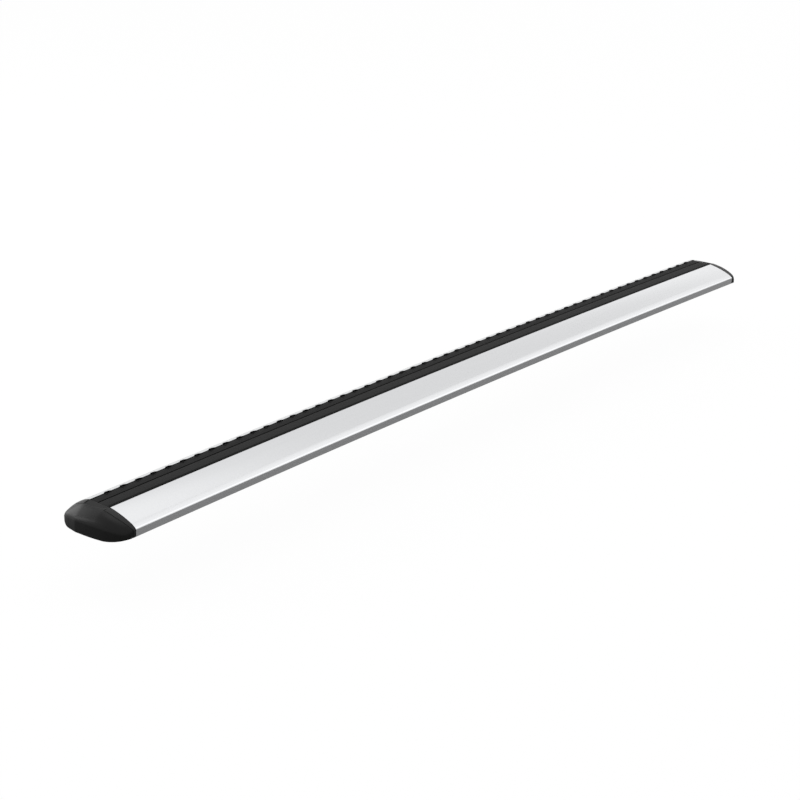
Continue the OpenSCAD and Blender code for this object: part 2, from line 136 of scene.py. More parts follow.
def noseSide(count=40):
    ys = [stripRear + wing["noseReach"] * s for s in curveSteps(count)]
    return [(y, wingTop(y)) for y in ys]


def noseUnder(count=24):
    r = wing["noseHeight"]
    turns = [math.pi / 2 * i / count for i in range(1, count + 1)]
    return [(noseY - r * (1 - math.cos(a)), r * (1 - math.sin(a))) for a in turns]


def tailUnder(count=20):
    foot = wing["height"] - wing["creaseDrop"] - wing["tailFace"]
    sweep = wing["tailSweep"]
    radius = (sweep ** 2 + foot ** 2) / (2 * foot)
    turn = 2 * math.atan(foot / sweep)
    start = tailY + wing["tailLean"] + sweep
    turns = [turn * i / count for i in range(count + 1)]
    return [(start - radius * math.sin(a), radius * (1 - math.cos(a))) for a in turns]


def tailSide(face=40, roll=14):
    runs = [faceRun * i / face for i in range(1, face + 1)]
    runs += [rollFrom + rollRun * s for s in curveSteps(roll, 0)]
    return [(stripFront - run, wing["height"] - tailFall(run)) for run in reversed(runs)]


def wingLoop():
    # the closed outline, without its slots
    return ([(stripFront, wing["height"]), (stripRear, stripRearZ)]
            + noseSide() + noseUnder() + tailUnder() + tailSide())


def barLoop():
    # the same outline with the seat and both slots let in
    seat = lambda y: stripTop(y) - wing["stripDepth"]
    at = lambda width: (slotMiddle - width / 2, slotMiddle + width / 2)
    mouth, slot = at(wing["mouth"]), at(wing["slotWidth"])
    underMouth, under = at(wing["underMouth"]), at(wing["underWidth"])
    roof = slotFloor - wing["web"]
    top = [(stripFront, wing["height"]), (stripFront, seatFloor),
           (mouth[0], seat(mouth[0])), (mouth[0], lipFloor), (slot[0], lipFloor), (slot[0], slotFloor),
           (slot[1], slotFloor), (slot[1], lipFloor), (mouth[1], lipFloor), (mouth[1], seat(mouth[1])),
           (stripRear, seat(stripRear)), (stripRear, stripRearZ)]
    lips = wing["wall"]
    bottom = [(underMouth[1], 0), (underMouth[1], lips), (under[1], lips), (under[1], roof),
              (under[0], roof), (under[0], lips), (underMouth[0], lips), (underMouth[0], 0)]
    return top + noseSide() + noseUnder() + bottom + tailUnder() + tailSide()


def roundCorners(loop, radius, fromTurn=18, steps=4, share=0.4, least=1e-6):
    # every corner sharper than fromTurn degrees becomes an arc, which takes at most a share of each side
    out = []
    count = len(loop)
    for i, point in enumerate(loop):
        here = Vector(point)
        before, after = Vector(loop[i - 1]) - here, Vector(loop[(i + 1) % count]) - here
        if before.length < least or after.length < least:
            continue
        turn = math.pi - before.angle(after)
        if turn < math.radians(fromTurn):
            out.append(point)
            continue
        back = min(radius * math.tan(turn / 2), share * before.length, share * after.length)
        a, b = here + before.normalized() * back, here + after.normalized() * back
        for k in range(steps + 1):
            t = k / steps
            p = a.lerp(here, t).lerp(here.lerp(b, t), t)
            out.append((p.x, p.y))
    return out


def archZ(x, z):
    # a point of the section at height z, carried along the arch to x
    return math.sqrt((archRadius + z) ** 2 - x ** 2) + wing["archRise"] - archRadius


def makeObject(name, verts, faces):
    mesh = bpy.data.meshes.new(name)
    mesh.from_pydata([tuple(c * mm for c in v) for v in verts], [], faces)
    obj = bpy.data.objects.new(name, mesh)
    scene.collection.objects.link(obj)
    smooth(fixNormals(obj))
    return obj


def fixNormals(obj):
    bm = bmesh.new()
    bm.from_mesh(obj.data)
    bmesh.ops.recalc_face_normals(bm, faces=bm.faces)
    bm.to_mesh(obj.data)
    bm.free()
    return obj


def smooth(obj, sharpFrom=32):
    # edges that turn by more than sharpFrom degrees stay sharp
    obj.data.polygons.foreach_set("use_smooth", [True] * len(obj.data.polygons))
    obj.data.set_sharp_from_angle(angle=math.radians(sharpFrom))


def sweepAlongBar(name, loop, stations=72):
    # carries a closed section along the arch, with both ends closed
    xs = [wing["length"] * i / stations - half for i in range(stations + 1)]
    count = len(loop)
    verts = [(x, y, archZ(x, z)) for x in xs for y, z in loop]
    faces = []
    for here in range(0, stations * count, count):
        for i in range(count):
            after, j = here + count, (i + 1) % count
            faces.append((here + i, here + j, after + j, after + i))
    faces += [tuple(range(count)), tuple(range(stations * count, (stations + 1) * count))]
    return makeObject(name, verts, faces)


def prism(name, loop, low, high, axis="z"):
    # a closed prism on an outline, along one axis
    place = {
        "x": lambda p, h: (h, p[0], p[1]),
        "y": lambda p, h: (p[0], h, p[1]),
        "z": lambda p, h: (p[0], p[1], h),
    }[axis]
    count = len(loop)
    verts = [place(p, low) for p in loop] + [place(p, high) for p in loop]
    faces = [(i, (i + 1) % count, count + (i + 1) % count, count + i) for i in range(count)]
    faces += [tuple(range(count)), tuple(range(count, 2 * count))]
    return makeObject(name, verts, faces)


def block(name, low, high):
    loop = [(low[0], low[1]), (high[0], low[1]), (high[0], high[1]), (low[0], high[1])]
    return prism(name, loop, low[2], high[2])


def circle(middle, radius, sides):
    turns = [2 * math.pi * i / sides for i in range(sides)]
    return [(middle[0] + radius * math.cos(a), middle[1] + radius * math.sin(a)) for a in turns]


def combine(target, tool, operation):
    # one boolean, applied at once, which uses up its tool
    step = target.modifiers.new("step", "BOOLEAN")
    step.operation = operation
    step.solver = "MANIFOLD"
    step.object = tool
    graph = bpy.context.evaluated_depsgraph_get()
    made = bpy.data.meshes.new_from_object(target.evaluated_get(graph))
    target.modifiers.clear()
    old = target.data
    target.data = made
    bpy.data.meshes.remove(old)
    discard(tool)
    return target


def discard(obj):
    mesh = obj.data
    bpy.data.objects.remove(obj)
    bpy.data.meshes.remove(mesh)


def paint(obj, material):
    obj.data.materials.clear()
    obj.data.materials.append(material)


def dress(obj, body, slot, material, *nodes):
    # gives a piece its looks, the body it moves with and the nodes it stands for
    paint(obj, material)
    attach(obj, body)
    if nodes:
        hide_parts(*nodes)
    return obj


# shader maths written as plain expressions on sockets
class Wire:
    def __init__(self, tree, socket):
        self.tree = tree
        self.socket = socket

    def math(self, operation, other, swap=False):
        values = [other, self] if swap else [self, other]
        return self.tree.add("ShaderNodeMath", {"operation": operation}, {0: values[0], 1: values[1]})

    def __add__(self, other):
        return self.math("ADD", other)

    def __radd__(self, other):
        return self.math("ADD", other, True)

    def __sub__(self, other):
        return self.math("SUBTRACT", other)

    def __rsub__(self, other):
        return self.math("SUBTRACT", other, True)

    def __mul__(self, other):
        return self.math("MULTIPLY", other)


# a material or world and its nodes
class Finish:
    bumpDistance = 0.0001  # metres

    def __init__(self, name, world=None):
        self.holder = world or bpy.data.materials.new(name)
        self.holder.use_nodes = True
        self.tree = self.holder.node_tree
        self.tree.nodes.clear()

    def add(self, kind, settings=None, inputs=None, output=0):
        node = self.tree.nodes.new(kind)
        for key, value in (settings or {}).items():
            setattr(node, key, value)
        for key, value in (inputs or {}).items():
            if isinstance(value, Wire):
                self.tree.links.new(value.socket, node.inputs[key])
            else:
                node.inputs[key].default_value = value
        return Wire(self, node.outputs[output])

    def where(self, axis):
        # one object coordinate, in metres
        source = self.add("ShaderNodeTexCoord", output="Object")
        return self.add("ShaderNodeSeparateXYZ", {}, {"Vector": source}, axis)

    def stretched(self, scale):
        source = self.add("ShaderNodeTexCoord", output="Object")
        return self.add("ShaderNodeMapping", {}, {"Vector": source, "Scale": scale})

    def rays(self, *kinds):
        return [self.add("ShaderNodeLightPath", output="Is " + kind + " Ray") for kind in kinds]

    def noise(self, scale, detail=3, stretch=(1, 1, 1), rough=0.55):
        place = self.stretched(stretch)
        return self.add("ShaderNodeTexNoise", {},
                        {"Vector": place, "Scale": scale, "Detail": detail, "Roughness": rough})

    def bump(self, height, strength, inputs=None):
        values = {"Height": height, "Strength": strength, "Distance": self.bumpDistance, **(inputs or {})}
        return self.add("ShaderNodeBump", {}, values)

    def between(self, value, low, high, way="LINEAR"):
        # 0 below the low value, 1 above the high one
        return self.add("ShaderNodeMapRange", {"interpolation_type": way},
                        {"Value": value, "From Min": low, "From Max": high})

    def tint(self, factor, low, high):
        # a mix of two colours, or of a colour and a wire
        high = high if isinstance(high, Wire) else (*high, 1)
        return self.add("ShaderNodeMix", {"data_type": "RGBA"}, {0: factor, 6: (*low, 1), 7: high}, 2)

    def surface(self, colour, inputs):
        self.close(self.add("ShaderNodeBsdfPrincipled", {}, {"Base Color": colour, **inputs}))
        return self.holder

    def close(self, shader, kind="ShaderNodeOutputMaterial"):
        out = self.tree.nodes.new(kind)
        self.tree.links.new(shader.socket, out.inputs["Surface"])


def grey(v):
    return (v, v, v)


def makeAluminium():
    look = {
        "light": (0.68, 0.685, 0.695), "dark": (0.64, 0.645, 0.655), "roughness": 0.17,
        "lines": 900, "linesStretch": (0.012, 1, 1), "linesTint": 0.6, "linesRough": 0.08,
        "cloud": 9, "cloudStretch": (0.4, 1, 1), "cloudTint": 0.4,
        "speck": 5200, "speckRough": 0.04, "speckHeight": 0.3, "bump": 0.05,
    }
    f = Finish("satinAluminium")
    drawn = f.noise(look["lines"], detail=4, stretch=look["linesStretch"])  # die lines along the bar
    cloud = f.noise(look["cloud"], detail=2, stretch=look["cloudStretch"])
    speck = f.noise(look["speck"], detail=2)
    colour = f.tint(drawn * look["linesTint"] + cloud * look["cloudTint"], look["dark"], look["light"])
    rough = look["roughness"] + drawn * look["linesRough"] + speck * look["speckRough"]
    bump = f.bump(drawn + speck * look["speckHeight"], look["bump"])
    return f.surface(colour, {"Metallic": 1.0, "Roughness": rough, "Normal": bump})


def makeRubber(shadeLines, middle, ridges):
    # the dark lines along the strip (middle and half width in Y) are painted shade in the gaps at its edges
    # and in its slit, each ridge has a painted shadow on what lies beside it, and behind the middle the
    # rubber is darker
    look = {
        "light": grey(0.022), "dark": grey(0.014), "grooveShade": grey(0.001), "rear": 0.75,
        "soft": 0.5, "rearSoft": 2, "shadeSoft": 0.1,  # the last is a share of the pitch
        "grain": 3500, "grainRough": 0.12, "streak": 700, "streakStretch": (0.02, 1, 1), "streakTint": 0.4,
        "streakHeight": 0.5, "dust": 30, "dustStretch": (0.3, 1, 1), "dustTint": 0.6,
        "roughness": 0.56, "bump": 0.12, "shine": 0.06,
    }
    f = Finish("stripRubber")
    grain = f.noise(look["grain"])
    streak = f.noise(look["streak"], stretch=look["streakStretch"])
    dust = f.noise(look["dust"], stretch=look["dustStretch"])
    along, across = f.where(0), f.where(1)
    first, pitch, shadeLength, shadeTo = ridges
    step = ((along - first * mm) * (1 / (pitch * mm))).math("FRACT", 0)
    shadeShare = shadeLength / pitch
    # a painted shadow beside each ridge, over part of every pitch
    under = 1 - f.between(step, shadeShare, shadeShare + look["shadeSoft"])
    unshaded = 1 - under * f.between(across, (shadeTo - look["soft"]) * mm, shadeTo * mm)
    # painted shade along the gaps at the strip's edges and in its slit
    for place, reach in shadeLines:
        away = (across - place * mm).math("ABSOLUTE", 0)
        unshaded = f.between(away, reach * mm, (reach + look["soft"]) * mm) * unshaded
    behind = f.between(across, middle * mm, (middle + look["rearSoft"]) * mm)
    front = 1 - behind * (1 - look["rear"])
    colour = f.tint(dust * look["dustTint"] + streak * look["streakTint"], look["dark"], look["light"])
    colour = f.tint(unshaded * front, look["grooveShade"], colour)
    rough = look["roughness"] + grain * look["grainRough"]
    bump = f.bump(grain + streak * look["streakHeight"], look["bump"])
    return f.surface(colour, {"Roughness": rough, "Normal": bump, "Specular IOR Level": look["shine"]})


def makePlastic(name, light, dark, roughness):
    look = {
        "grain": 1900, "fine": 4200, "fineRough": 0.1, "fineHeight": 0.4, "cloud": 60, "bump": 0.1,
        "shine": 0.15, "edge": 0.0005, "edgeSamples": 6,
    }
    f = Finish(name)
    grain = f.add("ShaderNodeTexVoronoi", {"feature": "SMOOTH_F1"},
                  {"Vector": f.stretched((1, 1, 1)), "Scale": look["grain"]})
    fine = f.noise(look["fine"], detail=2)
    cloud = f.noise(look["cloud"])
    colour = f.tint(cloud, dark, light)
    rough = roughness + fine * look["fineRough"]
    soft = f.add("ShaderNodeBevel", {"samples": look["edgeSamples"]}, {"Radius": look["edge"]})
    bump = f.bump(grain + fine * look["fineHeight"], look["bump"], {"Normal": soft})
    return f.surface(colour, {"Roughness": rough, "Normal": bump, "Specular IOR Level": look["shine"]})


def makeSteel(name, light, dark, roughness, stretch=(1, 1, 1)):
    look = {"drawn": 2200, "drawnRough": 0.1, "cloud": 300, "bump": 0.08}
    f = Finish(name)
    drawn = f.noise(look["drawn"], stretch=stretch)
    cloud = f.noise(look["cloud"], detail=2)
    colour = f.tint(cloud, dark, light)
    rough = roughness + drawn * look["drawnRough"]
    bump = f.bump(drawn, look["bump"])
    return f.surface(colour, {"Metallic": 1.0, "Roughness": rough, "Normal": bump})


aluminium = makeAluminium()
flapPlastic = makePlastic("capFlapPlastic", light=grey(0.009), dark=grey(0.006), roughness=0.26)
basePlastic = makePlastic("capBasePlastic", light=grey(0.015), dark=grey(0.011), roughness=0.3)
pinSteel = makeSteel("pinSteel", light=grey(0.66), dark=grey(0.55), roughness=0.28, stretch=(1, 0.05, 1))
screwSteel = makeSteel("screwSteel", light=(0.6, 0.6, 0.58), dark=(0.45, 0.45, 0.44), roughness=0.35)
print("materials ready")

# the aluminium bar
bar = sweepAlongBar("barExtrusion", roundCorners(barLoop(), wing["corner"]))
dress(bar, "bar", "aluminium", aluminium, "bar_extrusion")
print("bar ready")

# the rubber strips
strip = {
    "gap": 0.15, "leg": 1.4, "hook": 1, "hookHeight": 1.4,
    "slit": 0.8, "slitDepth": 1, "slitOffset": 2.3, "bevel": 1.2,
    "pitch": 19.2, "first": 17.3, "ridgeHeight": 1.2, "ridgeLength": 10, "ridgeWidth": 0.9, "ridgeTip": 0.8,
    "ridgeInset": 0.3, "ridgeRoot": 0.25, "foot": 3.5, "footRise": 0.5, "ridgeSwell": 0.85,
    "corner": 0.3, "underCorner": 0.25, "underBack": 1,
    # the last five place painted shade: lines along the edge gaps and the slit, and a shadow beside each
    # ridge
    "edgeLine": (-4.9, 1.9), "slitLine": 0.7, "rearLine": 0.9, "shadeLength": 9, "shadeTo": 17.9,
}
slitAt = slotMiddle + strip["slitOffset"]
# lines of painted shade: in the gap at the strip's front edge, in its slit and in the gap at its rear edge
darkLines = [
    strip["edgeLine"],
    (slitAt, strip["slitLine"]),
    (stripRear - strip["rearLine"], strip["rearLine"]),
]
# where the painted shadow beside each ridge falls: first ridge, pitch, length along X and reach in Y
shade = (strip["first"] - half, strip["pitch"], strip["shadeLength"], strip["shadeTo"])
rubber = makeRubber(darkLines, slitAt, shade)


def clipLegs(width, lipZ, startZ, flip=lambda z: z):
    # outline of both hooked legs below a strip, from its right to its left
    right = slotMiddle + width / 2 - strip["gap"]
    left = slotMiddle - width / 2 + strip["gap"]
    low, catch = lipZ - strip["hookHeight"], lipZ - strip["gap"]
    leg, hook = strip["leg"], strip["hook"]
    points = [(right, startZ), (right, catch), (right + hook, catch), (right, low), (right - leg, low),
              (right - leg, startZ), (left + leg, startZ), (left + leg, low), (left, low),
              (left - hook, catch), (left, catch), (left, startZ)]
    return [(y, flip(z)) for y, z in points]


def makeTopStrip():
    gap = strip["gap"]
    floorAt = lambda y: stripTop(y) - wing["stripDepth"] + gap
    front, rear = stripFront + gap, stripRear - gap
    a, b = slitAt - strip["slit"] / 2, slitAt + strip["slit"] / 2
    bottom = wing["height"] - strip["slitDepth"]
    legs = clipLegs(wing["mouth"], lipFloor, seatFloor + gap)
    legs = [(y, floorAt(y) if z == seatFloor + gap else z) for y, z in legs]
    bevel = strip["bevel"]
    loop = [(front, wing["height"] - bevel), (front + bevel, stripTop(front + bevel)),
            (a, stripTop(a)), (a, bottom), (b, bottom), (b, stripTop(b)),
            (rear, stripTop(rear)), (rear, floorAt(rear))] + legs + [(front, floorAt(front))]
    body = sweepAlongBar("topStrip", roundCorners(loop, strip["corner"]))
    ridges = int((wing["length"] - strip["first"] - strip["ridgeLength"]) / strip["pitch"]) + 1
    for i in range(ridges):
        combine(body, airRidge(strip["first"] - half + i * strip["pitch"]), "UNION")
    smooth(body)
    return body


def airRidge(along):
    # a fin along the rear edge, steep towards the left and falling away to the right
    rear = stripRear - strip["gap"] - strip["ridgeInset"]
    surface = stripTop(rear - strip["foot"])
    low, top = surface - strip["ridgeRoot"], stripRearZ + strip["ridgeHeight"]
    rise = strip["ridgeSwell"] * (top - surface)
    root, length, tip = strip["ridgeRoot"], strip["ridgeLength"], strip["ridgeTip"]
    loop = [(0, low), (length, low), (length, surface), (length / 2, surface + rise),
            (tip, top), (0, top - root)]
    fin = prism("airRidge", loop, rear - strip["ridgeWidth"], rear, "y")
    foot = block("foot", (root, rear - strip["foot"], low),
                 (root + 2 * tip, rear - strip["ridgeWidth"] / 2, surface + strip["footRise"]))
    combine(fin, foot, "UNION")
    turn = Matrix.Rotation(along / archRadius, 3, "Y")
    outwards = Vector((0, 0, archRadius))
    centre = Vector((0, 0, wing["archRise"] - archRadius))
    for v in fin.data.vertices:
        v.co = (turn @ (v.co / mm + outwards) + centre) * mm
    return fixNormals(fin)


def makeUnderStrip():
    flip = lambda z: wing["wall"] - z
    legs = clipLegs(wing["underMouth"], 0, wing["wall"] - strip["underBack"], flip)
    left, right = legs[-1][0], legs[0][0]
    loop = [(left, 0), (right, 0)] + legs
    return sweepAlongBar("undersideStrip", roundCorners(loop, strip["underCorner"]))


dress(makeTopStrip(), "bar", "strip_rubber", rubber, "top_strip")
dress(makeUnderStrip(), "bar", "strip_rubber", rubber, "underside_strip")
print("strips ready")

# the end caps, drawn for the right-hand end with X from the bar's end
cap = {
    "reach": 21.5, "reachTail": 1.2, "peak": 18, "crease": 13.8, "creasePeak": 3, "creaseFall": 4.3,
    "fullness": 1.8, "tailFullness": 3.2, "wall": 2, "plate": 2.6, "domeShare": 1.1,
    "tailSquare": 2.6, "noseTaper": 0.2, "noseSquare": 8,
    "collarReach": 7.2, "collarEdge": 2, "gap": 0.3, "catchWidth": 1.6, "catchDrop": 2.2,
    "scoopDepth": 0.5, "scoopReach": 8, "scoopRound": 45, "scoopMiddle": 13,
    "portBore": 4, "portHeight": 10, "shank": 3.8, "shankGap": 0.2, "lift": 0.2,
    "seam": 0.55, "creaseRound": 2.6, "grooveWidth": 0.8, "grooveDepth": 0.9,
    "shareMost": 1.5, "outLeast": 1, "sharpFrom": 28, "merge": 2e-7,  # the last two in degrees and metres
}
hinge = {"out": 5.4, "up": 2.6, "sill": 2.4, "pin": 2, "pinGap": 0.05, "pinLength": 30, "knuckle": 18}
margin, past = 1, 5  # how far a form runs on past an edge, and a cutter past what it cuts
high = 2 * wing["height"]
plateTop = wing["height"] - cap["domeShare"] * cap["wall"] - 2 * cap["gap"]


def rounded(t, squareness):
    # a quarter of a superellipse
    return max(0, 1 - t ** squareness) ** (1 / squareness)


def capOut(y):
    # the cap's outline seen from above
    if y < cap["peak"]:
        t = (cap["peak"] - y) / (cap["peak"] - tailY)
        return cap["reachTail"] + (cap["reach"] - cap["reachTail"]) * rounded(t, cap["tailSquare"])
    t = (y - cap["peak"]) / (noseY - cap["peak"])
    return cap["reach"] * (1 - cap["noseTaper"] * t) * rounded(t, cap["noseSquare"])


def creaseHeight(y):
    # where the dome ends and the upright wall below it begins
    return cap["crease"] - cap["creaseFall"] * ((y - cap["creasePeak"]) / (cap["creasePeak"] - tailY)) ** 2


def domeTop(out, y):
    # height of the dome at a distance from the bar's end, rounded off over the crease
    share = min(cap["shareMost"], out / max(cap["outLeast"], capOut(y)))
    low = creaseHeight(y)
    towardsTail = min(1, max(0, (stripRear - y) / noseY))
    fullness = cap["fullness"] + (cap["tailFullness"] - cap["fullness"]) * towardsTail
    over = min(1, max(0, (out - capOut(y)) / cap["creaseRound"] + 1))
    edgeFall = cap["creaseRound"] * (1 - math.sqrt(1 - over ** 2))
    return low + (wingTop(y) - low) * (1 - share ** fullness) - edgeFall


def acrossSection(count):
    # steps in Y that crowd towards both edges
    return [-chord / 2 * math.cos(math.pi * i / count) for i in range(count + 1)]


def domeSolid(depth, rows=96, columns=96):
    # everything below the dome, as a grid of heights with a flat floor
    ys = acrossSection(rows)
    xs = [(cap["reach"] + margin) * j / columns for j in range(columns + 1)]
    stride = columns + 1
    base = stride * (rows + 1)
    verts = [(x, y, domeTop(x, y) - depth) for y in ys for x in xs]
    verts += [(x, y, -past) for y in ys for x in xs]
    faces = []
    for i in range(rows):
        for j in range(columns):
            k = i * stride + j
            faces.append((k, k + stride, k + stride + 1, k + 1))
            faces.append((base + k, base + k + 1, base + k + stride + 1, base + k + stride))
    for j in range(columns):
        k = rows * stride + j
        faces.append((j, j + 1, base + j + 1, base + j))
        faces.append((k + 1, k, base + k, base + k + 1))
    for i in range(rows):
        k = i * stride
        m = k + columns
        faces.append((k + stride, k, base + k, base + k + stride))
        faces.append((m, m + stride, base + m + stride, base + m))
    return makeObject("dome", verts, faces)


def insetLoop(loop, distance, sharpest=0.5):
    # moves a closed outline inwards by a wall's thickness
    if distance == 0:
        return loop
    area = sum(a[0] * b[1] - b[0] * a[1] for a, b in zip(loop, loop[1:] + loop[:1]))
    sign = 1 if area > 0 else -1
    out = []
    for i, point in enumerate(loop):
        a = (Vector(point) - Vector(loop[i - 1])).normalized()
        b = (Vector(loop[(i + 1) % len(loop)]) - Vector(point)).normalized()
        na, nb = Vector((-a.y, a.x)) * sign, Vector((-b.y, b.x)) * sign
        middle = (na + nb).normalized()
        out.append(tuple(Vector(point) + middle * distance / max(sharpest, middle.dot(na))))
    return out


def planLoop(inset, count=120):
    # the cap seen from above, moved inwards
    edge = [(max(0, capOut(y) - inset), y) for y in acrossSection(count)]
    corner = (cap["reachTail"] - min(inset, margin), tailY - margin)
    return [(-margin, tailY - margin), corner] + edge + [(-margin, noseY + margin)]


def cleanLoop(loop, least=0.002):
    # leaves out points that lie on top of each other
    out = []
    for p in loop:
        if not out or math.dist(p, out[-1]) > least:
            out.append(p)
    return out


def capForm(inset):
    # the whole cap as one solid, moved inwards
    section = cleanLoop(insetLoop(cleanLoop(wingLoop()), inset))
    form = prism("capForm", section, 0, cap["reach"] + past, "x")
    combine(form, prism("plan", cleanLoop(planLoop(inset)), -past, high), "INTERSECT")
    combine(form, domeSolid(inset * cap["domeShare"]), "INTERSECT")
    return form


def slab(xFrom, xTo, zTo):
    # everything between two distances from the bar's end, up to a height
    return block("slab", (xFrom, tailY - past, -past), (xTo, noseY + past, zTo))


def alongHinge(radius, yFrom, yTo, sides=64):
    # a round bar about the hinge's axis
    return prism("round", circle((hinge["out"], hinge["up"]), radius, sides), yFrom, yTo, "y")


def collar(side, gap, steps=48):
    # the fixed collar on one side of the slot, grown by a gap
    edge = stripFront if side < 0 else stripRear
    reach = wing["tailReach"] if side < 0 else wing["noseReach"]
    outline = []
    for i in range(steps + 1):
        run = reach * math.sin(math.pi / 2 * i / steps)
        share = math.sqrt(max(0, 1 - (run / reach) ** 2))
        outline.append((cap["collarEdge"] + (cap["collarReach"] - cap["collarEdge"]) * share, run))
    end = reach + 2 * margin
    loop = cleanLoop([(-margin, 0)] + outline + [(cap["collarEdge"], end), (-margin, end)])
    if gap:
        loop = cleanLoop(insetLoop(loop, -gap))
    loop = [(x, edge + side * run) for x, run in loop]
    return prism("collar", loop, hinge["up"], high)


def atPort(y, radius, low, top, sides=48):
    # a round bar for a screw, square to the bar's sloping end
    tool = prism("atPort", circle((0, 0), radius, sides), low, top)
    turn = Matrix.Rotation(archHalf, 3, "Y")
    lay = Matrix.Rotation(math.pi / 2, 3, "Y")
    shift = Vector((0, y, cap["portHeight"])) * mm
    for v in tool.data.vertices:
        v.co = turn @ (lay @ v.co + shift)
    return fixNormals(tool)


def makeCapBase():
    base = capForm(0)
    hollow = capForm(cap["wall"])
    combine(hollow, slab(cap["plate"], 2 * cap["reach"], high), "INTERSECT")
    combine(base, hollow, "DIFFERENCE")
    keep = slab(-margin, cap["plate"], high)
    for side in (-1, 1):
        combine(keep, collar(side, 0), "UNION")
    combine(keep, slab(-margin, hinge["out"], hinge["up"]), "UNION")
    combine(keep, alongHinge(hinge["sill"], tailY - past, noseY + past), "UNION")
    combine(base, keep, "INTERSECT")
    sill = capForm(0)
    combine(sill, alongHinge(hinge["sill"], tailY - past, noseY + past), "INTERSECT")
    combine(base, sill, "UNION")
    # the end of the slot, the room for the flap's edge and for its knuckle, and the pin's bore
    reach, slotHalf = cap["plate"] + margin, wing["slotWidth"] / 2
    notch = block("notch", (-margin, slotMiddle - slotHalf, slotFloor),
                  (reach, slotMiddle + slotHalf, high))
    combine(base, notch, "DIFFERENCE")
    notch = block("notch", (-margin, stripFront, plateTop), (reach, stripRear, high))
    combine(base, notch, "DIFFERENCE")
    gap = cap["gap"]
    knuckle = hinge["knuckle"] / 2 + gap
    roof = hinge["up"] + hinge["sill"] + gap
    room = block("room", (cap["plate"], slotMiddle - knuckle, -past),
                 (cap["reach"], slotMiddle + knuckle, roof))
    combine(base, room, "DIFFERENCE")
    pinFrom = slotMiddle - hinge["pinLength"] / 2 - gap
    combine(base, alongHinge(hinge["pin"] / 2 + hinge["pinGap"], pinFrom, noseY + past), "DIFFERENCE")
    # the groove round the joint with the bar, and the holes of both screws
    groove = slab(-margin, cap["grooveWidth"], high)
    combine(groove, capForm(cap["grooveDepth"]), "DIFFERENCE")
    combine(base, groove, "DIFFERENCE")
    out = slotHalf + wing["wall"] + cap["portBore"] / 2
    hole, through = cap["shank"] / 2 + cap["shankGap"], 2 * cap["plate"]
    for y in (slotMiddle - out, slotMiddle + out):
        combine(base, atPort(y, hole, -through, through), "DIFFERENCE")
    return base


def makeCapFlap():
    gap = cap["gap"]
    flap = capForm(0)
    combine(flap, capForm(cap["wall"]), "DIFFERENCE")
    combine(flap, slab(gap, 2 * cap["reach"], high), "INTERSECT")
    for side in (-1, 1):
        combine(flap, collar(side, cap["seam"]), "DIFFERENCE")
    # room for the base's sill and plate
    combine(flap, slab(-margin, hinge["out"] + hinge["sill"] + gap, hinge["up"]), "DIFFERENCE")
    combine(flap, alongHinge(hinge["sill"] + gap, tailY - past, noseY + past), "DIFFERENCE")
    combine(flap, slab(-margin, cap["plate"] + gap, plateTop + gap), "DIFFERENCE")
    combine(flap, thumbScoop(), "DIFFERENCE")
    catchHalf = cap["catchWidth"] / 2
    for side in (-1, 1):
        y = slotMiddle + side * (wing["slotWidth"] / 2 - gap - catchHalf)
        catch = block("catch", (gap, y - catchHalf, plateTop - cap["catchDrop"]),
                      (cap["plate"], y + catchHalf, plateTop + margin))
        combine(flap, catch, "UNION")
    # the knuckle on the pin, and the web that carries it
    left, right = slotMiddle - hinge["knuckle"] / 2, slotMiddle + hinge["knuckle"] / 2
    combine(flap, alongHinge(hinge["sill"], left, right), "UNION")
    webFloor = hinge["up"] - hinge["sill"]
    webEnd = hinge["out"] + hinge["sill"] + 2 * margin
    web = block("web", (hinge["out"], left, webFloor), (webEnd, right, webFloor + cap["wall"]))
    combine(flap, web, "UNION")
    bore = alongHinge(hinge["pin"] / 2 + hinge["pinGap"], left - margin, right + margin)
    combine(flap, bore, "DIFFERENCE")
    combine(flap, slab(-margin, 2 * cap["reach"], cap["lift"]), "DIFFERENCE")
    return flap


def thumbScoop(sides=240):
    # a shallow dip in the dome's inner edge, bounded by a large circle
    middle = cap["scoopMiddle"]
    drop = stripTop(middle) - domeTop(cap["scoopReach"], middle) + cap["scoopDepth"]
    centre = cap["scoopReach"] - cap["scoopRound"]
    scoop = prism("scoop", circle((centre, middle), cap["scoopRound"], sides), 0, high)
    left, right = cap["gap"], wing["stripWidth"] - cap["gap"]
    low = block("under", (-margin, left, 0), (2 * cap["scoopReach"], right, past))
    tilt = Matrix.Rotation(math.atan(wing["stripRise"] / wing["stripWidth"]), 3, "X")
    lean = Matrix.Rotation(math.atan(drop / cap["scoopReach"]), 3, "Y")
    shift = Vector((0, stripFront, wing["height"])) * mm
    for v in low.data.vertices:
        v.co = tilt @ (lean @ v.co) + shift
    return combine(scoop, fixNormals(low), "INTERSECT")


def atEnd(drawn, side, name):
    # a copy, at either end, of a piece drawn for the right-hand end
    obj = drawn.copy()
    obj.data = drawn.data.copy()
    obj.name = name
    scene.collection.objects.link(obj)
    bm = bmesh.new()
    bm.from_mesh(obj.data)
    for v in bm.verts:
        v.co.x = side * (v.co.x + half * mm)
    bmesh.ops.remove_doubles(bm, verts=bm.verts, dist=cap["merge"])
    bmesh.ops.recalc_face_normals(bm, faces=bm.faces)
    bm.to_mesh(obj.data)
    bm.free()
    smooth(obj, cap["sharpFrom"])
    return obj


